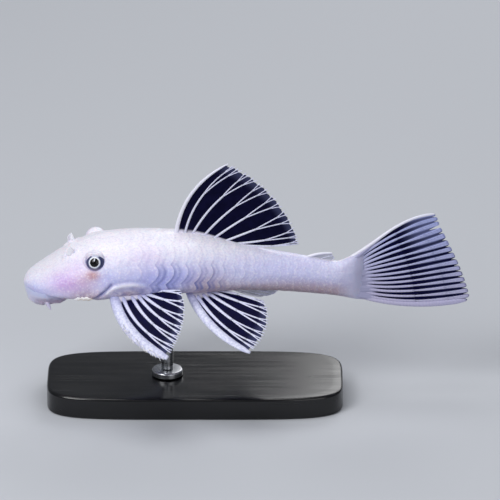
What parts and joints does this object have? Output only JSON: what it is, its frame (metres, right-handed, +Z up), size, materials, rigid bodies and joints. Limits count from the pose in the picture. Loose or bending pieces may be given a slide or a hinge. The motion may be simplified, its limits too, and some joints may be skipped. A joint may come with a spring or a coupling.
{
  "type": "bristlenose pleco",
  "caption": "White armoured catfish with a sucker mouth and spread fins, a still life-size model held over a flat base by a short rod.",
  "frame": {"origin": "on the floor under the stand's base, at the middle of the fish's length and in its middle plane", "axes": "+X from the snout to the tail, +Y to the fish's right, +Z up"},
  "size_m": [0.1201, 0.0622, 0.0673],
  "materials": {
    "skin": "satin",
    "fin": "satin",
    "eye": "gloss",
    "stand_base": "satin black",
    "stand_rod": "brushed"
  },
  "bodies": {
    "root": {"head": "skin", "lips": "skin", "trunk": "skin", "tail": "skin", "eye_left": "eye", "eye_right": "eye", "dorsal_fin": "fin", "adipose_fin": "fin", "caudal_fin": "fin", "anal_fin": "fin", "pectoral_fin_left": "fin", "pectoral_fin_right": "fin", "pelvic_fin_left": "fin", "pelvic_fin_right": "fin", "stand_base": "stand_base", "stand_foot": "stand_rod", "stand_rod": "stand_rod"}
  },
  "joints": []
}
